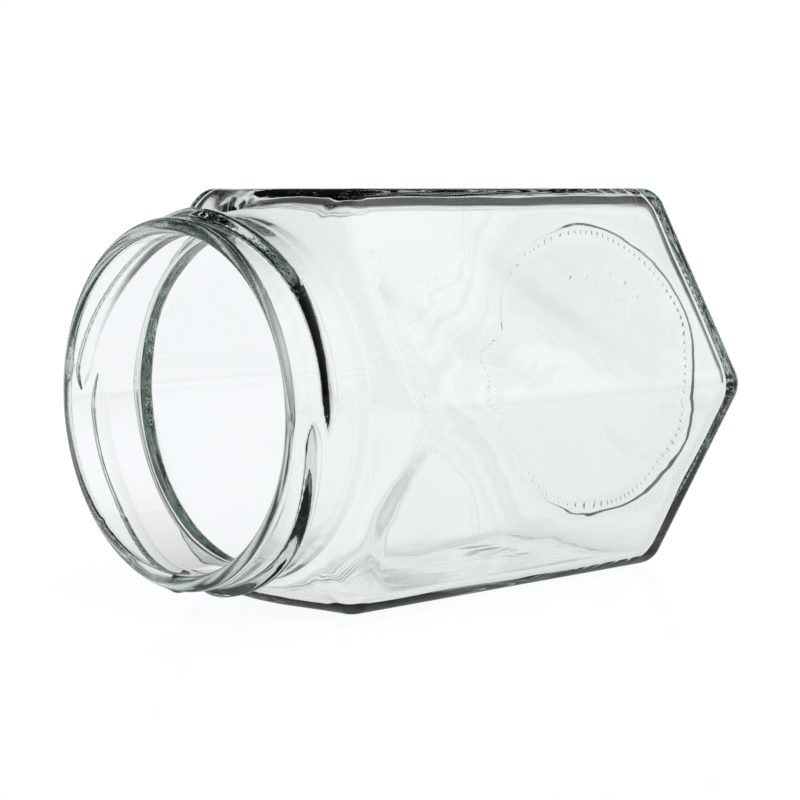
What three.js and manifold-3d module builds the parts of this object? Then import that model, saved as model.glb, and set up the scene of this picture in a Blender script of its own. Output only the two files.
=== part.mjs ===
// A hexagonal glass jar without its lid, lying on one of its six flats.
// Its axis runs along X, the mouth faces -X and the base faces +X. Millimetres, +Z up.
// The origin is on the floor, under the middle of the jar.

import * as THREE from "three";
import { mergeVertices } from "three/addons/utils/BufferGeometryUtils.js";
import Module from "manifold-3d";

// Body: a hexagonal prism with rounded long edges and a rounded heel round the base.
const HEIGHT = 98.2;
const ACROSS_FLATS = 68.5;
const EDGE_RADIUS = 5;
const HEEL_RADIUS = 4.1;
const WALL = 2.6;
const INSIDE_EDGE_RADIUS = 3.5;

// Floor: about as thick as the wall, and a little higher in its middle.
const FLOOR = 3.1;
const FLOOR_RISE = 1.4;
const FLOOR_FILLET = 3.3;
const FLOOR_CORNER_RADIUS = 8;
const FLOOR_RING_SHARES = [0.25, 0.5, 0.75];

// Base: a ring that the jar stands on, and a shallow round hollow inside it.
const STANDING_OUTER_RADIUS = 26.3;
const STANDING_INNER_RADIUS = 23.8;
const STANDING_FLANK = 0.8;
const STANDING_RISE = 0.4;
const HOLLOW_DEPTH = 1.4;

// Neck: a round finish with a rounded, slightly flat lip.
const NECK_RADIUS = 29.8;
const LIP_ROUNDING = 0.9;
const LIP_FLATNESS = 0.6;

// Shoulder: an arc turns out of the neck and a larger one turns back to the flats. The inside turns deeper,
// and the wall is thinner in the middle of the shoulder.
const SHOULDER_START = 14.2;
const INSIDE_LAG = 1.8;
const SHOULDER_THINNING = 0.38;
const SHOULDER_TILT = THREE.MathUtils.degToRad(52);
const SHOULDER_HOLLOW = 3;
const SHOULDER_CORNER_POWER = 1.3;

// Arch: above the middle of each flat the shoulder ends nearer to the mouth than above the long edges.
const ARCH_HEIGHT = 2;
const ARCH_START = 15;
const ARCH_TOP = 23.5;
const ARCH_END = 48;

// Thread: four equal lugs, each sloping down from its high end and then running level.
const LUG_COUNT = 4;
const LUG_SWEEP = 97;
const LUG_HIGH_DEPTH = 3.65;
const LUG_LOW_DEPTH = 6.9;
const LUG_SLOPE_SHARE = 0.58;
const LUG_HEIGHT = 1.6;
const LUG_MOUTH_SIDE = 1.5;
const LUG_BODY_SIDE = 2;
const LUG_HIGH_TAPER = 9;
const LUG_LOW_TAPER = 14;
const LUG_TIP_SCALE = 0.12;

// Fineness of the facets.
const FLAT_STEPS = 6;
const EDGE_STEPS = 5;
const SHOULDER_STEPS = 6;
const FILLET_STEPS = 5;
const LIP_STEPS = 8;
const HOLLOW_STEPS = 4;
const LUG_STEPS = 20;
const LUG_SECTION_POINTS = 10;

const GLASS_COLOUR = 0xe9f0ee;
const GLASS_ROUGHNESS = 0.05;
const JOIN_TOLERANCE = 1e-4;
const SIDES = 6;
const QUARTER = Math.PI / 2;
const HALF_SECTOR = Math.PI / SIDES;

const wasm = await Module();
wasm.setup();

// The numbers from 0 to 1 in equal steps.
function steps(count) {
  return Array.from({ length: count + 1 }, (_, i) => i / count);
}

// Where half of a rounded hexagon's flat ends and its corner arc begins, as an angle about the axis.
function flatEndAngle(apothem, cornerRadius) {
  return Math.atan2((apothem - cornerRadius) * Math.tan(HALF_SECTOR), apothem);
}

// The radius at an angle of a rounded hexagon with one flat at the top and one at the bottom.
function hexagonRadius(angle, apothem, cornerRadius) {
  const turns = angle / (2 * HALF_SECTOR) - 0.5;
  const offFlat = Math.abs(turns - Math.round(turns)) * 2 * HALF_SECTOR;
  if (offFlat <= flatEndAngle(apothem, cornerRadius)) return apothem / Math.cos(offFlat);
  const centre = (apothem - cornerRadius) / Math.cos(HALF_SECTOR);
  const offCorner = HALF_SECTOR - offFlat;
  const across = centre * Math.sin(offCorner);
  return centre * Math.cos(offCorner) + Math.sqrt(Math.max(0, cornerRadius ** 2 - across ** 2));
}

// The angles of a ring's points: even steps along each flat, and finer ones round each corner.
function ringAngles() {
  const end = flatEndAngle(ACROSS_FLATS / 2, EDGE_RADIUS);
  const flat = steps(FLAT_STEPS).map((t) => end * (2 * t - 1));
  const corner = steps(EDGE_STEPS).slice(1, -1).map((t) => end + 2 * t * (HALF_SECTOR - end));
  const sectors = Array.from({ length: SIDES }, (_, i) => (2 * i + 1) * HALF_SECTOR);
  return sectors.flatMap((middle) => [...flat, ...corner].map((off) => middle + off));
}

// A depth drawn towards the mouth above the middle of a flat, most of all where the shoulder ends.
function archedDepth(depth, angle) {
  const rise = THREE.MathUtils.smoothstep(depth, ARCH_START, ARCH_TOP);
  const fall = 1 - THREE.MathUtils.smoothstep(depth, ARCH_TOP, ARCH_END);
  const onFlat = 0.5 + 0.5 * Math.cos(SIDES * (angle - QUARTER));
  return depth - ARCH_HEIGHT * rise * fall * onFlat;
}

// A point by its depth below the rim, its radius, and its angle: 0 is the front, a quarter turn the top.
function pointAt(depth, radius, angle) {
  const x = archedDepth(depth, angle) - HEIGHT / 2;
  const y = -radius * Math.cos(angle);
  const z = ACROSS_FLATS / 2 + radius * Math.sin(angle);
  return new THREE.Vector3(x, y, z);
}

// A ring of points at one depth, its radius given as a function of the angle.
function ring(depth, radiusAt) {
  return ringAngles().map((angle) => pointAt(depth, radiusAt(angle), angle));
}

function roundRing(depth, radius) {
  return ring(depth, () => radius);
}

function hexagonRing(depth, apothem, cornerRadius) {
  return ring(depth, (angle) => hexagonRadius(angle, apothem, cornerRadius));
}

// Rings from the neck to the flats. The inset moves both arcs in about the same centres, less in the middle,
// and the lag moves them down. The corners of the hexagon come out as the flats do.
function shoulderRings(inset, lag, cornerRadius) {
  const rise = ACROSS_FLATS / 2 - NECK_RADIUS;
  const rounding = rise / (1 - Math.cos(SHOULDER_TILT)) - SHOULDER_HOLLOW;
  const start = SHOULDER_START + lag;
  const end = start + (SHOULDER_HOLLOW + rounding) * Math.sin(SHOULDER_TILT);
  const neckRadius = NECK_RADIUS - inset;
  const apothem = ACROSS_FLATS / 2 - inset;
  const insetAt = (way) => inset * (1 - SHOULDER_THINNING * Math.sin(Math.PI * way) ** 2);
  const shoulderRing = (depth, radius) => {
    const share = (Math.max(0, radius - neckRadius) / rise) ** SHOULDER_CORNER_POWER;
    return ring(depth, (angle) => radius + share * (hexagonRadius(angle, apothem, cornerRadius) - apothem));
  };
  const hollow = steps(SHOULDER_STEPS).map((t) => {
    const turn = t * SHOULDER_TILT;
    const arc = SHOULDER_HOLLOW + insetAt(t / 2);
    return shoulderRing(start + arc * Math.sin(turn), NECK_RADIUS + SHOULDER_HOLLOW - arc * Math.cos(turn));
  });
  const rounded = steps(SHOULDER_STEPS).slice(1).map((t) => {
    const turn = (1 - t) * SHOULDER_TILT;
    const arc = rounding - insetAt((1 + t) / 2);
    return shoulderRing(end - arc * Math.sin(turn), ACROSS_FLATS / 2 - rounding + arc * Math.cos(turn));
  });
  return [...hollow, ...rounded];
}

// The inside, from the middle of the floor to the mouth.
function insideRings() {
  const apothem = ACROSS_FLATS / 2 - WALL;
  const deepest = HEIGHT - FLOOR;
  const floor = FLOOR_RING_SHARES.map((share) => {
    const depth = deepest - FLOOR_RISE * (1 - share ** 2);
    return ring(depth, (angle) => share * hexagonRadius(angle, apothem - FLOOR_FILLET, FLOOR_CORNER_RADIUS));
  });
  const fillet = steps(FILLET_STEPS).map((t) => {
    const drawnIn = 1 - Math.sin(t * QUARTER);
    const cornerRadius = THREE.MathUtils.lerp(INSIDE_EDGE_RADIUS, FLOOR_CORNER_RADIUS, drawnIn);
    const depth = deepest - FLOOR_FILLET * (1 - Math.cos(t * QUARTER));
    return hexagonRing(depth, apothem - FLOOR_FILLET * drawnIn, cornerRadius);
  });
  const shoulder = shoulderRings(WALL, INSIDE_LAG, INSIDE_EDGE_RADIUS);
  return [...floor, ...fillet, ...shoulder.reverse()];
}

// The lip, half an ellipse with a flattened top, from the mouth's bore over the rim to the neck's outside.
function lipRings() {
  return steps(LIP_STEPS).map((t) => {
    const over = t * Math.PI;
    const depth = LIP_ROUNDING * (1 - Math.max(0, Math.sin(over)) ** LIP_FLATNESS);
    return roundRing(depth, NECK_RADIUS - (WALL / 2) * (1 + Math.cos(over)));
  });
}

// The outside, from the neck to the middle of the base.
function outsideRings() {
  const shoulder = shoulderRings(0, 0, EDGE_RADIUS);
  const heelEnd = HEIGHT - STANDING_RISE;
  const heel = steps(FILLET_STEPS).map((t) => {
    const inset = HEEL_RADIUS * (1 - Math.cos(t * QUARTER));
    const depth = heelEnd - HEEL_RADIUS * (1 - Math.sin(t * QUARTER));
    return hexagonRing(depth, ACROSS_FLATS / 2 - inset, EDGE_RADIUS - inset);
  });
  const standing = [
    roundRing(heelEnd, STANDING_OUTER_RADIUS),
    roundRing(HEIGHT, STANDING_OUTER_RADIUS - STANDING_FLANK),
    roundRing(HEIGHT, STANDING_INNER_RADIUS),
  ];
  const hollow = steps(HOLLOW_STEPS).slice(1, -1).map((t) => {
    const depth = HEIGHT - HOLLOW_DEPTH * Math.sin(t * QUARTER) ** 2;
    return roundRing(depth, STANDING_INNER_RADIUS * (1 - t));
  });
  return [...shoulder, ...heel, ...standing, ...hollow];
}

// A closed skin through rings of equally many points, drawn to a point at both ends.
function closedSkin(firstPole, rings, lastPole) {
  const count = rings[0].length;
  const points = [firstPole, ...rings.flat(), lastPole];
  const last = points.length - 1;
  const at = (row, column) => 1 + row * count + (column % count);
  const triangles = [];
  for (let column = 0; column < count; column++) {
    triangles.push(0, at(0, column), at(0, column + 1));
    for (let row = 0; row < rings.length - 1; row++) {
      const [a, b] = [at(row, column), at(row, column + 1)];
      const [c, d] = [at(row + 1, column), at(row + 1, column + 1)];
      triangles.push(a, c, b, b, c, d);
    }
    const end = rings.length - 1;
    triangles.push(at(end, column), last, at(end, column + 1));
  }
  return new THREE.BufferGeometry().setFromPoints(points).setIndex(triangles);
}

// The plain jar: up the inside, over the lip, down the outside and across the base.
function jarSkin() {
  const rings = [...insideRings(), ...lipRings(), ...outsideRings()];
  const floorMiddle = pointAt(HEIGHT - FLOOR - FLOOR_RISE, 0, 0);
  const baseMiddle = pointAt(HEIGHT - HOLLOW_DEPTH, 0, 0);
  return closedSkin(floorMiddle, rings, baseMiddle);
}

// One lug: an oval bead on the neck, half of it sunk in the wall, with drawn-out ends.
function lugSkin(lowEndAngle) {
  const depthAt = (along) => {
    const slope = THREE.MathUtils.smoothstep(along, 1 - LUG_SLOPE_SHARE, 1);
    return THREE.MathUtils.lerp(LUG_LOW_DEPTH, LUG_HIGH_DEPTH, slope);
  };
  const roundEnd = (degrees, taper) => Math.sqrt(1 - (1 - Math.min(1, degrees / taper)) ** 2);
  const angleAt = (along) => THREE.MathUtils.degToRad(lowEndAngle + along * LUG_SWEEP);
  const rings = steps(LUG_STEPS).map((along) => {
    const low = roundEnd(along * LUG_SWEEP, LUG_LOW_TAPER);
    const high = roundEnd((1 - along) * LUG_SWEEP, LUG_HIGH_TAPER);
    const scale = Math.max(LUG_TIP_SCALE, Math.min(low, high));
    return Array.from({ length: LUG_SECTION_POINTS }, (_, i) => {
      const turn = (2 * Math.PI * i) / LUG_SECTION_POINTS;
      const radius = NECK_RADIUS + scale * LUG_HEIGHT * Math.cos(turn);
      const halfWidth = turn < Math.PI ? LUG_MOUTH_SIDE : LUG_BODY_SIDE;
      const depth = depthAt(along) - scale * halfWidth * Math.sin(turn);
      return pointAt(depth, radius, angleAt(along));
    });
  });
  const lowEnd = pointAt(LUG_LOW_DEPTH, NECK_RADIUS, angleAt(0));
  const highEnd = pointAt(LUG_HIGH_DEPTH, NECK_RADIUS, angleAt(1));
  return closedSkin(lowEnd, rings, highEnd);
}

// A geometry's closed surface as a solid that can be joined.
function solidOf(geometry) {
  const merged = mergeVertices(geometry, JOIN_TOLERANCE);
  const vertProperties = new Float32Array(merged.getAttribute("position").array);
  const triVerts = new Uint32Array(merged.index.array);
  return new wasm.Manifold(new wasm.Mesh({ numProp: 3, vertProperties, triVerts }));
}

// A solid's surface as a geometry with flat-shaded facets.
function geometryOf(solid) {
  const { vertProperties, triVerts } = solid.getMesh();
  const geometry = new THREE.BufferGeometry();
  geometry.setAttribute("position", new THREE.BufferAttribute(new Float32Array(vertProperties), 3));
  geometry.setIndex(new THREE.BufferAttribute(new Uint32Array(triVerts), 1));
  geometry.computeVertexNormals();
  return geometry;
}

// The jar with its lugs, blown as one piece of glass.
function glassGeometry() {
  let solid = solidOf(jarSkin());
  for (let lug = 0; lug < LUG_COUNT; lug++) {
    const lowEndAngle = (360 / LUG_COUNT) * lug + 90 - LUG_SWEEP;
    solid = solid.add(solidOf(lugSkin(lowEndAngle)));
  }
  return geometryOf(solid);
}

const glass = new THREE.MeshStandardMaterial({
  color: GLASS_COLOUR,
  roughness: GLASS_ROUGHNESS,
  metalness: 0,
});

const jar = new THREE.Mesh(glassGeometry(), glass);
jar.name = "jar";

const part = new THREE.Group();
part.add(jar);

export default part;
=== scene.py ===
import bpy
import numpy as np
from mathutils import Matrix, Vector


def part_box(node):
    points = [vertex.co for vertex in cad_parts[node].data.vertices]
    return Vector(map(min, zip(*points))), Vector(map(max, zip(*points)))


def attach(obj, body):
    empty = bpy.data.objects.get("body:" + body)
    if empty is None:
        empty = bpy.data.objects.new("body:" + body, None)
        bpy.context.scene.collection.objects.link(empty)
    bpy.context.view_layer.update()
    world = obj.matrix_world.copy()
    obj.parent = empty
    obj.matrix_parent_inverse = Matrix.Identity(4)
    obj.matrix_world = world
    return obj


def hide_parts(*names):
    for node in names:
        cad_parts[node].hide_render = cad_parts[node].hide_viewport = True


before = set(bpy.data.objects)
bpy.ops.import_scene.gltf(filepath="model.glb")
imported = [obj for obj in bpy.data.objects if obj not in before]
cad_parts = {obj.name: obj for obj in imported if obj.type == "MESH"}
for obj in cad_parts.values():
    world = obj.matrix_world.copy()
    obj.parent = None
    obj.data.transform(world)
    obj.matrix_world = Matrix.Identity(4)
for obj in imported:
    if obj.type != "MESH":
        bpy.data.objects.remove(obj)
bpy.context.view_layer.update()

# The jar: one piece of clear soda-lime glass, pressed and blown in a mould. The mould makes the lugs of the
# neck and the knurled standing ring crisp, while the inside is blown free, so its corners are soft and its
# wall is uneven, thin in the shoulder but for one thicker side. It lies on one of its six flats.
jar_low, jar_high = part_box("jar")
HEIGHT = jar_high[0] - jar_low[0]
APOTHEM = (jar_high[2] - jar_low[2]) / 2
AXIS_Z = (jar_high[2] + jar_low[2]) / 2
SIDES = 6
HALF_SECTOR = np.pi / SIDES
QUARTER = np.pi / 2
FULL_TURN = 2 * np.pi
WALL = 0.0026
EDGE_RADIUS = 0.0050
INSIDE_EDGE_RADIUS = 0.0035

NECK_RADIUS = 0.0298
LIP_ROUNDING = 0.0009
LIP_FLATNESS = 0.6
FINISH_DEPTH = 0.0124
SHOULDER_START = 0.0142
INSIDE_LAG = 0.0018
SHOULDER_TILT = np.radians(52)
SHOULDER_HOLLOW = 0.0030
SHOULDER_CORNER_POWER = 1.3
SHOULDER_THINNING = 0.38
ARCH_HEIGHT = 0.0020
ARCH_START = 0.0150
ARCH_TOP = 0.0235
ARCH_END = 0.0480

FLOOR = 0.0031
FLOOR_RISE = 0.0014
FLOOR_FILLET = 0.0033
FLOOR_CORNER_RADIUS = 0.0080

HEEL_RADIUS = 0.0041
STANDING_RISE = 0.0004
STANDING_OUTER_RADIUS = 0.0263
STANDING_FLANK = 0.0008
STANDING_INNER_RADIUS = 0.0238
HOLLOW_DEPTH = 0.0014
KNURL_COUNT = 108
KNURL_DEPTH = 0.00024
DOT_COUNT = 5
DOT_ARC_RADIUS = 0.0171
DOT_FIRST = np.radians(48)
DOT_STEP = np.radians(12.8)
DOT_RADIUS = 0.0006
DOT_HEIGHT = 0.00025

LUG_COUNT = 4
LUG_SWEEP = np.radians(97)
LUG_HIGH_DEPTH = 0.00365
LUG_LOW_DEPTH = 0.0069
LUG_SLOPE_SHARE = 0.58
LUG_HEIGHT = 0.0016
LUG_MOUTH_SIDE = 0.0015
LUG_MOUTH_POWER = 1.6
LUG_BODY_SIDE = 0.0020
LUG_BODY_POWER = 2.0
LUG_HIGH_TAPER = np.radians(9)
LUG_LOW_TAPER = np.radians(14)
LUG_LEAST_SIZE = 0.05
SEAM_ANGLES = np.radians([45, 225])
SEAM_HEIGHT = 0.00010
SEAM_HALF_WIDTH = 0.0005
SEAM_START = 0.0013
SEAM_FADE = 0.0026
THICK_HEIGHT = 0.0010
THICK_ANGLE = np.radians(112)
THICK_SPREAD = np.radians(24)
THICK_LENGTH = 0.0091
WAVES_START = 0.016
WAVES_FADE = 0.006
WAVES_ON_EDGES = 0.3
BLOWN_WAVES = ((2, 0.052, 0.00022), (5, 0.034, 0.00016), (9, 0.023, 0.00010), (14, 0.015, 0.00004))

FLOOR_ROWS = 9
FLOOR_REACH = (0.1, 0.97)
FILLET_ROWS = 10
INSIDE_WALL_ROWS = 18
ARC_ROWS = 9
BORE_ROWS = 4
LIP_ROWS = 15
LUG_ROWS = 44
OUTSIDE_WALL_ROWS = 5
HEEL_ROWS = 9
RIM_ROWS = 4
FLANK_ROWS = 5
RING_ROWS = 6
OUTER_HOLLOW_ROWS = 4
DOT_ROWS = 9
INNER_HOLLOW_ROWS = 5
AROUND = 5 * KNURL_COUNT

# Around the axis: the angles of a ring's points, and a raised cosine that is one at the middle of each flat
# and nought at each long edge.
angle = np.linspace(0, FULL_TURN, AROUND, endpoint=False)[None, :]
flat_share = 0.5 + 0.5 * np.cos(SIDES * (angle - QUARTER))


def steps_after(first, last, count):
    """A count of equal steps on the way from the first value, which is left out, to the last."""
    return np.linspace(first, last, count + 1)[1:]


def steps_between(first, last, count):
    """A count of equal steps on the way from the first value to the last, with both left out."""
    return np.linspace(first, last, count + 2)[1:-1]


def rounded_hexagon(angle, apothem, corner):
    """The radius, at an angle about the axis, of a hexagon with a flat on top and rounded corners.

    Within a flat it is the apothem over the cosine of the angle off the flat's middle. Past the end of the
    flat it is the far root of the ray's meeting with the circle that rounds the corner.
    """
    turns = angle / (2 * HALF_SECTOR) - 0.5
    off_flat = np.abs(turns - np.round(turns)) * 2 * HALF_SECTOR
    flat_end = np.arctan2((apothem - corner) * np.tan(HALF_SECTOR), apothem)
    centre = (apothem - corner) / np.cos(HALF_SECTOR)
    off_corner = HALF_SECTOR - off_flat
    across = centre * np.sin(off_corner)
    arc = centre * np.cos(off_corner) + np.sqrt(np.maximum(corner**2 - across**2, 0))
    return np.where(off_flat <= flat_end, apothem / np.cos(off_flat), arc)


def stations(depth, core=0.0, share=0.0, apothem=APOTHEM, corner=EDGE_RADIUS):
    """Rows of the profile: rings at a depth below the rim, their radius a core plus a share of a hexagon."""
    return np.stack(np.broadcast_arrays(depth, core, share, apothem, corner), axis=-1)


def smooth_step(value):
    """Nought below 0, one above 1, and three squares less two cubes of the value between."""
    value = np.clip(value, 0, 1)
    return value**2 * (3 - 2 * value)


def shoulder(inset, lag, corner):
    """Rows from the neck to the wall: an arc turns out of the neck, and a larger one turns back.

    The inset moves both arcs in about the same centres, less in the middle of the shoulder by the square of
    half a sine wave, and the lag moves them down. The share of the hexagon is a power of the way that the
    flat has come, so the first arc stays round.
    """
    rounding = (APOTHEM - NECK_RADIUS) / (1 - np.cos(SHOULDER_TILT)) - SHOULDER_HOLLOW
    start = SHOULDER_START + lag
    end = start + (SHOULDER_HOLLOW + rounding) * np.sin(SHOULDER_TILT)
    turn = np.linspace(0, SHOULDER_TILT, ARC_ROWS)
    back = turn[-2::-1]
    way = np.linspace(0, 1, len(turn) + len(back))
    thinned = inset * (1 - SHOULDER_THINNING * np.sin(np.pi * way) ** 2)
    hollow_arc = SHOULDER_HOLLOW + thinned[: len(turn)]
    round_arc = rounding - thinned[len(turn) :]
    depth = np.concatenate([start + hollow_arc * np.sin(turn), end - round_arc * np.sin(back)])
    radius = np.concatenate(
        [
            NECK_RADIUS + SHOULDER_HOLLOW - hollow_arc * np.cos(turn),
            APOTHEM - rounding + round_arc * np.cos(back),
        ]
    )
    apothem = APOTHEM - inset
    share = ((radius - radius[0]) / (radius[-1] - radius[0])) ** SHOULDER_CORNER_POWER
    return stations(depth, radius - share * apothem, share, apothem, corner)


def inside_rows():
    """The rows of the inside, from beside the middle of the floor, up the wall and through the neck."""
    apothem = APOTHEM - WALL
    deepest = HEIGHT - FLOOR
    reach = np.linspace(*FLOOR_REACH, FLOOR_ROWS)
    floor = stations(
        deepest - FLOOR_RISE * (1 - reach**2),
        share=reach,
        apothem=apothem - FLOOR_FILLET,
        corner=FLOOR_CORNER_RADIUS,
    )
    turn = np.linspace(0, QUARTER, FILLET_ROWS)
    drawn_in = 1 - np.sin(turn)
    fillet = stations(
        deepest - FLOOR_FILLET * (1 - np.cos(turn)),
        share=1,
        apothem=apothem - FLOOR_FILLET * drawn_in,
        corner=INSIDE_EDGE_RADIUS + (FLOOR_CORNER_RADIUS - INSIDE_EDGE_RADIUS) * drawn_in,
    )
    neck_to_wall = shoulder(WALL, INSIDE_LAG, INSIDE_EDGE_RADIUS)
    wall = stations(
        steps_between(deepest - FLOOR_FILLET, neck_to_wall[-1, 0], INSIDE_WALL_ROWS),
        share=1,
        apothem=apothem,
        corner=INSIDE_EDGE_RADIUS,
    )
    bore_end = SHOULDER_START + INSIDE_LAG
    bore = stations(steps_after(bore_end, LIP_ROUNDING, BORE_ROWS), NECK_RADIUS - WALL)
    return np.concatenate([floor, fillet, wall, neck_to_wall[::-1], bore])


def finish_rows():
    """The rows of the lip and of the outside of the neck down to the shoulder.

    The lip is half an ellipse over the wall, with its height raised to a power so that its top is flatter.
    """
    over = steps_after(0, np.pi, LIP_ROWS)
    lip = stations(
        LIP_ROUNDING * (1 - np.sin(over).clip(0) ** LIP_FLATNESS),
        NECK_RADIUS - WALL / 2 * (1 + np.cos(over)),
    )
    lugs = stations(steps_after(LIP_ROUNDING, FINISH_DEPTH, LUG_ROWS), NECK_RADIUS)
    return np.concatenate([lip, lugs])


def body_rows():
    """The rows of the outside from the shoulder down the wall and round the heel."""
    down = shoulder(0, 0, EDGE_RADIUS)
    heel_end = HEIGHT - STANDING_RISE
    wall = stations(steps_between(down[-1, 0], heel_end - HEEL_RADIUS, OUTSIDE_WALL_ROWS), share=1)
    turn = np.linspace(0, QUARTER, HEEL_ROWS)
    drawn_in = HEEL_RADIUS * (1 - np.cos(turn))
    heel = stations(
        heel_end - HEEL_RADIUS * (1 - np.sin(turn)),
        share=1,
        apothem=APOTHEM - drawn_in,
        corner=EDGE_RADIUS - drawn_in,
    )
    return np.concatenate([down, wall, heel])


def base_rows():
    """The rows of the base from the heel over the standing ring to beside the middle of the hollow."""
    heel_end = HEIGHT - STANDING_RISE
    inwards = steps_after(0, 1, RIM_ROWS)
    rim = stations(
        heel_end,
        inwards * STANDING_OUTER_RADIUS,
        1 - inwards,
        APOTHEM - HEEL_RADIUS,
        EDGE_RADIUS - HEEL_RADIUS,
    )
    climb = steps_after(0, 1, FLANK_ROWS)
    flank = stations(
        heel_end + STANDING_RISE * smooth_step(climb),
        STANDING_OUTER_RADIUS - STANDING_FLANK * climb,
    )
    ring_edge = STANDING_OUTER_RADIUS - STANDING_FLANK
    ring = stations(HEIGHT, steps_after(ring_edge, STANDING_INNER_RADIUS, RING_ROWS))
    dots = DOT_ARC_RADIUS + DOT_RADIUS * np.linspace(2, -2, DOT_ROWS)
    radius = np.concatenate(
        [
            steps_between(STANDING_INNER_RADIUS, dots[0], OUTER_HOLLOW_ROWS),
            dots,
            steps_between(dots[-1], 0, INNER_HOLLOW_ROWS),
        ]
    )
    hollow = stations(HEIGHT - HOLLOW_DEPTH * np.cos(radius / STANDING_INNER_RADIUS * QUARTER) ** 2, radius)
    return np.concatenate([rim, flank, ring, hollow])


def blown_waves(depth, radius):
    """How the blown inside swells: slow waves around the axis and along the wall, summed.

    Each is a sine whose phase grows with the angle and with the depth less the radius. They die out in the
    neck, where the plunger shapes the glass, and at the middle of the floor, and are lower along the edges.
    """
    along = depth - radius
    swell = 0
    for around, length, height in BLOWN_WAVES:
        swell = swell + height * np.sin(around * angle + FULL_TURN * along / length + around)
    below_neck = smooth_step((depth - WAVES_START) / WAVES_FADE)
    off_middle = smooth_step(radius / (APOTHEM / 2))
    off_edges = WAVES_ON_EDGES + (1 - WAVES_ON_EDGES) * flat_share
    return swell * below_neck * off_middle * off_edges


def thick_shoulder(depth):
    """How the blown shoulder is thicker on one side.

    It is a bell curve of the angle from that side, times the square of half a sine wave along the depth.
    """
    along = np.clip((depth - SHOULDER_START - INSIDE_LAG) / THICK_LENGTH, 0, 1)
    off_side = (angle - THICK_ANGLE + np.pi) % FULL_TURN - np.pi
    return THICK_HEIGHT * np.sin(np.pi * along) ** 2 * np.exp(-((off_side / THICK_SPREAD) ** 2))


def lug_relief(depth):
    """How far the lugs stand out of the neck: beads along a path that is level, then slopes to the rim.

    Across the bead the height falls with a power of the distance on each side, and the mouth side is narrower
    and so steeper. Towards both ends the height and the width shrink as the root of a smooth step.
    """
    relief = np.zeros((len(depth), AROUND))
    for lug in range(LUG_COUNT):
        low_end = FULL_TURN / LUG_COUNT * lug + QUARTER - LUG_SWEEP
        run = (angle - low_end) % FULL_TURN
        along = np.clip(run / LUG_SWEEP, 0, 1)
        climb = smooth_step((along - 1 + LUG_SLOPE_SHARE) / LUG_SLOPE_SHARE)
        middle = LUG_LOW_DEPTH + (LUG_HIGH_DEPTH - LUG_LOW_DEPTH) * climb
        size = np.sqrt(smooth_step(run / LUG_LOW_TAPER) * smooth_step((LUG_SWEEP - run) / LUG_HIGH_TAPER))
        off_middle = (depth - middle) / np.maximum(size, LUG_LEAST_SIZE)
        mouth_side = np.clip(-off_middle / LUG_MOUTH_SIDE, 0, 1) ** LUG_MOUTH_POWER
        body_side = np.clip(off_middle / LUG_BODY_SIDE, 0, 1) ** LUG_BODY_POWER
        relief = np.maximum(relief, LUG_HEIGHT * size * (1 - mouth_side - body_side))
    return relief


def seam_relief(depth):
    """The two fine raised lines along the neck, where the halves of the mould meet.

    Each is a bell curve of the distance from the line, and fades out towards the lip.
    """
    off_seam = np.min([np.abs(np.sin((angle - seam) / 2)) for seam in SEAM_ANGLES], axis=0)
    distance = 2 * NECK_RADIUS * off_seam / SEAM_HALF_WIDTH
    return SEAM_HEIGHT * np.exp(-(distance**2)) * smooth_step((depth - SEAM_START) / SEAM_FADE)


def base_relief(radius):
    """The marks on the base: grooves between the knurls of the standing ring, and five round dots in an arc.

    A groove is half a cosine around the axis, faded at both edges of the ring. A dot is a bell curve of the
    distance from its middle.
    """
    from_inside = (radius - STANDING_INNER_RADIUS) / STANDING_FLANK
    from_outside = (STANDING_OUTER_RADIUS - STANDING_FLANK - radius) / STANDING_FLANK
    on_ring = smooth_step(from_inside) * smooth_step(from_outside)
    relief = -KNURL_DEPTH * (0.5 + 0.5 * np.cos(KNURL_COUNT * angle)) * on_ring
    for dot in range(DOT_COUNT):
        place = DOT_FIRST + DOT_STEP * dot
        across = radius * np.cos(angle - place) - DOT_ARC_RADIUS
        along = radius * np.sin(angle - place)
        relief = relief + DOT_HEIGHT * np.exp(-((across**2 + along**2) / DOT_RADIUS**2))
    return relief


def arched(depth):
    """Depths drawn towards the mouth above the middle of each flat, so that the shoulder ends in an arch.

    The pull is highest where the shoulder ends and fades by smooth steps towards the neck and down the wall.
    Around the axis it is a raised cosine.
    """
    rise = smooth_step((depth - ARCH_START) / (ARCH_TOP - ARCH_START))
    fall = smooth_step((ARCH_END - depth) / (ARCH_END - ARCH_TOP))
    return depth - ARCH_HEIGHT * rise * fall * flat_share


def on_jar(depth, radius, angle):
    """Points by depth below the rim, radius and angle: 0 is the front, and a quarter turn is the top."""
    x = jar_low[0] + depth
    y = -radius * np.cos(angle)
    z = AXIS_Z + radius * np.sin(angle)
    return np.stack(np.broadcast_arrays(x, y, z), axis=-1)


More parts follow.
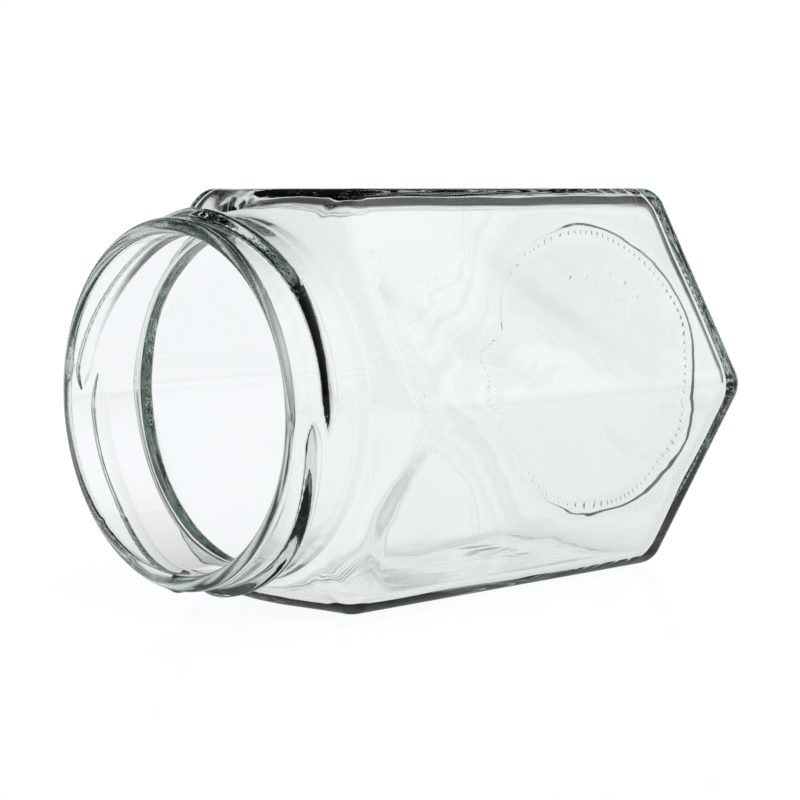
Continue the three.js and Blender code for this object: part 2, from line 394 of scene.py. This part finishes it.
def closed_skin(name, first_pole, grid, last_pole):
    """A mesh from a grid of rings: squares join neighbouring rings, and fans join the ends to the poles."""
    rows, columns = grid.shape[:2]
    points = np.concatenate([[first_pole], grid.reshape(-1, 3), [last_pole]])
    index = 1 + np.arange(rows * columns).reshape(rows, columns)
    after = np.roll(index, -1, axis=1)
    squares = np.stack([index[:-1], index[1:], after[1:], after[:-1]], axis=-1).reshape(-1, 4)
    first_fan = np.stack([np.zeros(columns, int), index[0], after[0]], axis=-1)
    last_fan = np.stack([index[-1], np.full(columns, len(points) - 1), after[-1]], axis=-1)
    corners = np.concatenate([squares.ravel(), first_fan.ravel(), last_fan.ravel()])
    sizes = np.concatenate([np.full(len(squares), 4), np.full(2 * columns, 3)])
    mesh = bpy.data.meshes.new(name)
    mesh.vertices.add(len(points))
    mesh.vertices.foreach_set("co", points.astype(np.float32).ravel())
    mesh.loops.add(len(corners))
    mesh.loops.foreach_set("vertex_index", corners.astype(np.int32))
    mesh.polygons.add(len(sizes))
    mesh.polygons.foreach_set("loop_start", (np.cumsum(sizes) - sizes).astype(np.int32))
    mesh.polygons.foreach_set("use_smooth", np.ones(len(sizes), bool))
    mesh.update(calc_edges=True)
    piece = bpy.data.objects.new(name, mesh)
    bpy.context.collection.objects.link(piece)
    return piece


def jar_skin(name):
    """The jar's skin: the profile's rings, the reliefs raised along its normal, and last the arches."""
    zones = [inside_rows(), finish_rows(), body_rows(), base_rows()]
    depth, core, share, apothem, corner = (column[:, None] for column in np.concatenate(zones).T)
    radius = core + share * rounded_hexagon(angle, apothem, corner)
    ends = np.cumsum([len(zone) for zone in zones])
    inside, finish, body, base = (slice(end - len(zone), end) for zone, end in zip(zones, ends))
    relief = np.zeros_like(radius)
    relief[inside] = blown_waves(depth[inside], radius[inside]) + thick_shoulder(depth[inside])
    relief[finish] = lug_relief(depth[finish]) + seam_relief(depth[finish])
    relief[base] = base_relief(radius[base])
    down = np.gradient(depth, axis=0)
    out = np.gradient(radius, axis=0)
    slant = np.hypot(down, out)
    depth, radius = depth - relief * out / slant, radius + relief * down / slant
    return closed_skin(
        name,
        on_jar(HEIGHT - FLOOR - FLOOR_RISE, 0, 0),
        on_jar(arched(depth), radius, angle),
        on_jar(HEIGHT - HOLLOW_DEPTH, 0, 0),
    )


jar = jar_skin("jar_glass")

GLASS_COLOUR = (1, 1, 1, 1)
GLASS_IOR = 1.52
GLASS_TINT = (0.675, 0.75, 0.70, 1)
GLASS_DENSITY = 40.0
RIPPLE_SCALE = (70, 230, 230)
RIPPLE_HEIGHT = 0.00005
HAZE = 0.02
HAZE_SCALE = 90.0
HAZE_FROM = 0.5
HAZE_TO = 0.8
LIP_HAZE = 0.20
LIP_HAZE_DEPTH = 0.0008
glass = bpy.data.materials.new("clear_glass")
glass.use_nodes = True
nodes, links = glass.node_tree.nodes, glass.node_tree.links
surface = nodes["Principled BSDF"]
surface.inputs["Base Color"].default_value = GLASS_COLOUR
surface.inputs["IOR"].default_value = GLASS_IOR
surface.inputs["Transmission Weight"].default_value = 1.0
coords = nodes.new("ShaderNodeTexCoord")

drawn_out = nodes.new("ShaderNodeMapping")
drawn_out.inputs["Scale"].default_value = RIPPLE_SCALE
links.new(coords.outputs["Object"], drawn_out.inputs["Vector"])
ripple = nodes.new("ShaderNodeTexNoise")
ripple.inputs["Scale"].default_value = 1.0
ripple.inputs["Detail"].default_value = 1.0
links.new(drawn_out.outputs["Vector"], ripple.inputs["Vector"])
bump = nodes.new("ShaderNodeBump")
bump.inputs["Distance"].default_value = RIPPLE_HEIGHT
links.new(ripple.outputs["Fac"], bump.inputs["Height"])
links.new(bump.outputs["Normal"], surface.inputs["Normal"])

haze = nodes.new("ShaderNodeTexNoise")
haze.inputs["Scale"].default_value = HAZE_SCALE
links.new(coords.outputs["Object"], haze.inputs["Vector"])
patches = nodes.new("ShaderNodeMapRange")
patches.inputs["From Min"].default_value = HAZE_FROM
patches.inputs["From Max"].default_value = HAZE_TO
patches.inputs["To Max"].default_value = HAZE
links.new(haze.outputs["Fac"], patches.inputs["Value"])
place = nodes.new("ShaderNodeSeparateXYZ")
links.new(coords.outputs["Object"], place.inputs["Vector"])
on_lip = nodes.new("ShaderNodeMapRange")
on_lip.interpolation_type = "SMOOTHSTEP"
on_lip.inputs["From Min"].default_value = jar_low[0] + LIP_HAZE_DEPTH
on_lip.inputs["From Max"].default_value = jar_low[0]
on_lip.inputs["To Max"].default_value = LIP_HAZE
links.new(place.outputs["X"], on_lip.inputs["Value"])
dullest = nodes.new("ShaderNodeMath")
dullest.operation = "MAXIMUM"
links.new(patches.outputs["Result"], dullest.inputs[0])
links.new(on_lip.outputs["Result"], dullest.inputs[1])
links.new(dullest.outputs["Value"], surface.inputs["Roughness"])

tint = nodes.new("ShaderNodeVolumeAbsorption")
tint.inputs["Color"].default_value = GLASS_TINT
tint.inputs["Density"].default_value = GLASS_DENSITY
links.new(tint.outputs["Volume"], nodes["Material Output"].inputs["Volume"])
jar.data.materials.append(glass)
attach(jar, "root")
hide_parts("jar")

# The floor: a wide sheet of smooth acrylic, a hair's breadth below the glass, with a faint sheen. Its white
# is
# painted light: a glow in a long soft patch from under the jar to far behind it, dark outside the patch,
# dimmer where the glass mirrors it and brighter where the camera sees it.
VIEW_AZIMUTH = np.radians(-43.687)
BEHIND = Vector((-np.sin(VIEW_AZIMUTH), np.cos(VIEW_AZIMUTH), 0))
FLOOR_SIZE = 3.0
FLOOR_GAP = 0.0003
FLOOR_COLOUR = (0.12, 0.12, 0.12, 1)
FLOOR_SHEEN = 0.05
FLOOR_SHEEN_ROUGHNESS = 0.15
STUDIO_WHITE = (0.965, 0.980, 1.0, 1)
# The painted glow of the floor: where its patch lies, how bright it is inside and outside the patch, in the
# glass's reflections and to the camera.
PATCH_DISTANCE = 1.1
PATCH_SIZE = (0.65, 1.5, 1)
PATCH_SOFTNESS = 0.06
PATCH_LEVEL = 0.905
PATCH_DARK = 0.01
PATCH_MIRRORED = 0.3
PATCH_SEEN = 0.98


def soft_window(tree, vector, place, turn, size, softness):
    """A soft-edged ellipsoid: one inside and nought outside, by the length of the vector in its own frame.

    Its own frame is moved to a place, turned about Z and scaled, so that the edge is at length one.
    """
    own_frame = tree.nodes.new("ShaderNodeMapping")
    own_frame.vector_type = "TEXTURE"
    own_frame.inputs["Location"].default_value = place
    own_frame.inputs["Rotation"].default_value = (0, 0, turn)
    own_frame.inputs["Scale"].default_value = size
    length = tree.nodes.new("ShaderNodeVectorMath")
    length.operation = "LENGTH"
    step = tree.nodes.new("ShaderNodeMapRange")
    step.interpolation_type = "SMOOTHSTEP"
    step.inputs["From Min"].default_value = 1 + softness
    step.inputs["From Max"].default_value = 1 - softness
    tree.links.new(vector, own_frame.inputs["Vector"])
    tree.links.new(own_frame.outputs["Vector"], length.inputs[0])
    tree.links.new(length.outputs["Value"], step.inputs["Value"])
    return step.outputs["Result"]


def glow_level(tree, windows, dark):
    """The strength of a glow: a dark level plus the sum of each window times its own strength."""
    level = tree.nodes.new("ShaderNodeValue")
    level.outputs["Value"].default_value = dark
    for window, strength in windows:
        brighter = tree.nodes.new("ShaderNodeMath")
        brighter.operation = "MULTIPLY_ADD"
        brighter.inputs[1].default_value = strength
        tree.links.new(window, brighter.inputs[0])
        tree.links.new(level.outputs["Value"], brighter.inputs[2])
        level = brighter
    return level.outputs["Value"]


def swapped_level(tree, level, ray, other):
    """A level that is another one for a kind of ray: the mix of both by the ray's flag."""
    swap = tree.nodes.new("ShaderNodeMix")
    swap.inputs["B"].default_value = other
    tree.links.new(level, swap.inputs["A"])
    tree.links.new(ray, swap.inputs["Factor"])
    return swap.outputs["Result"]


half = FLOOR_SIZE / 2
floor_mesh = bpy.data.meshes.new("studio_floor")
floor_mesh.from_pydata(
    [(x, y, -FLOOR_GAP) for x, y in ((-half, -half), (half, -half), (half, half), (-half, half))],
    [],
    [(0, 1, 2, 3)],
)
floor = bpy.data.objects.new("studio_floor", floor_mesh)
bpy.context.collection.objects.link(floor)
acrylic = bpy.data.materials.new("acrylic_with_painted_glow")
acrylic.use_nodes = True
tree = acrylic.node_tree
tree.nodes.remove(tree.nodes["Principled BSDF"])
coords = tree.nodes.new("ShaderNodeTexCoord")
# Painted light: the patch where the floor glows stands in for a pool of light on it.
patch = soft_window(
    tree, coords.outputs["Object"], PATCH_DISTANCE * BEHIND, VIEW_AZIMUTH, PATCH_SIZE, PATCH_SOFTNESS
)
level = glow_level(tree, [(patch, PATCH_LEVEL)], PATCH_DARK)
# Painted reflection: the floor glows less in the glass's reflections, and more where the camera sees it.
path = tree.nodes.new("ShaderNodeLightPath")
mirrored = tree.nodes.new("ShaderNodeMath")
mirrored.operation = "MULTIPLY"
tree.links.new(path.outputs["Is Reflection Ray"], mirrored.inputs[0])
tree.links.new(path.outputs["Is Glossy Ray"], mirrored.inputs[1])
level = swapped_level(tree, level, mirrored.outputs["Value"], PATCH_MIRRORED)
level = swapped_level(tree, level, path.outputs["Is Camera Ray"], PATCH_SEEN)
glow = tree.nodes.new("ShaderNodeEmission")
glow.inputs["Color"].default_value = STUDIO_WHITE
tree.links.new(level, glow.inputs["Strength"])
matt = tree.nodes.new("ShaderNodeBsdfDiffuse")
matt.inputs["Color"].default_value = FLOOR_COLOUR
sheen = tree.nodes.new("ShaderNodeBsdfGlossy")
sheen.inputs["Roughness"].default_value = FLOOR_SHEEN_ROUGHNESS
lit_matt = tree.nodes.new("ShaderNodeAddShader")
tree.links.new(glow.outputs["Emission"], lit_matt.inputs[0])
tree.links.new(matt.outputs["BSDF"], lit_matt.inputs[1])
polished = tree.nodes.new("ShaderNodeMixShader")
polished.inputs["Fac"].default_value = FLOOR_SHEEN
tree.links.new(lit_matt.outputs["Shader"], polished.inputs[1])
tree.links.new(sheen.outputs["BSDF"], polished.inputs[2])
tree.links.new(polished.outputs["Shader"], tree.nodes["Material Output"].inputs["Surface"])
floor_mesh.materials.append(acrylic)

# The light: a bright backdrop behind the jar and a large softbox at the front right, in a dark room, so that
# the flats stay pale and the edges of the glass go dark. A soft lamp overhead gives the thin shade.
ROOM_DARK = 0.03
BACKDROP_SIZE = (0.80, 1.2, 0.30)
BACKDROP_SOFTNESS = 0.3
BACKDROP_LEVEL = 0.97
BACKDROP_SEEN = 1.06
SOFTBOX_PLACE = (0.15, -0.60, 0.50)
SOFTBOX_SIZE = (0.90, 0.55, 0.60)
SOFTBOX_SOFTNESS = 0.6
SOFTBOX_LEVEL = 1.25
LAMP_STRENGTH = 0.8
LAMP_ANGLE = 1.0
GLASS_BOUNCES = 64
MIRROR_BOUNCES = 16
world = bpy.data.worlds.new("studio")
world.use_nodes = True
bpy.context.scene.world = world
tree = world.node_tree
coords = tree.nodes.new("ShaderNodeTexCoord")
towards = coords.outputs["Generated"]
backdrop = soft_window(tree, towards, BEHIND, VIEW_AZIMUTH, BACKDROP_SIZE, BACKDROP_SOFTNESS)
softbox = soft_window(tree, towards, SOFTBOX_PLACE, 0, SOFTBOX_SIZE, SOFTBOX_SOFTNESS)
level = glow_level(tree, [(backdrop, BACKDROP_LEVEL), (softbox, SOFTBOX_LEVEL)], ROOM_DARK)
path = tree.nodes.new("ShaderNodeLightPath")
level = swapped_level(tree, level, path.outputs["Is Camera Ray"], BACKDROP_SEEN)
background = tree.nodes["Background"]
background.inputs["Color"].default_value = STUDIO_WHITE
tree.links.new(level, background.inputs["Strength"])
lamp_data = bpy.data.lights.new("overhead", "SUN")
lamp_data.energy = LAMP_STRENGTH
lamp_data.angle = LAMP_ANGLE
lamp = bpy.data.objects.new("overhead", lamp_data)
lamp.visible_transmission = False
lamp.visible_glossy = False
bpy.context.collection.objects.link(lamp)
cycles = bpy.context.scene.cycles
cycles.max_bounces = GLASS_BOUNCES
cycles.transmission_bounces = GLASS_BOUNCES
cycles.glossy_bounces = MIRROR_BOUNCES

# The camera: it looks across the mouth from the front left, at the height of the jar's top, with a long lens.
CAMERA_PLACE = Vector((-0.2646, -0.2782, 0.06916))
CAMERA_PITCH = np.radians(5.552)
LENS = 99.95
SENSOR_WIDTH = 36
CLIP_START = 0.01
forward = Vector(
    (
        -np.sin(VIEW_AZIMUTH) * np.cos(CAMERA_PITCH),
        np.cos(VIEW_AZIMUTH) * np.cos(CAMERA_PITCH),
        -np.sin(CAMERA_PITCH),
    )
)
right = Vector((np.cos(VIEW_AZIMUTH), np.sin(VIEW_AZIMUTH), 0))
up = right.cross(forward)
camera_data = bpy.data.cameras.new("camera")
camera_data.lens = LENS
camera_data.sensor_width = SENSOR_WIDTH
camera_data.clip_start = CLIP_START
camera = bpy.data.objects.new("camera", camera_data)
bpy.context.collection.objects.link(camera)
turned = Matrix((right, up, -forward)).transposed().to_4x4()
camera.matrix_world = Matrix.Translation(CAMERA_PLACE) @ turned
bpy.context.scene.camera = camera
bpy.context.scene.view_settings.view_transform = "Standard"
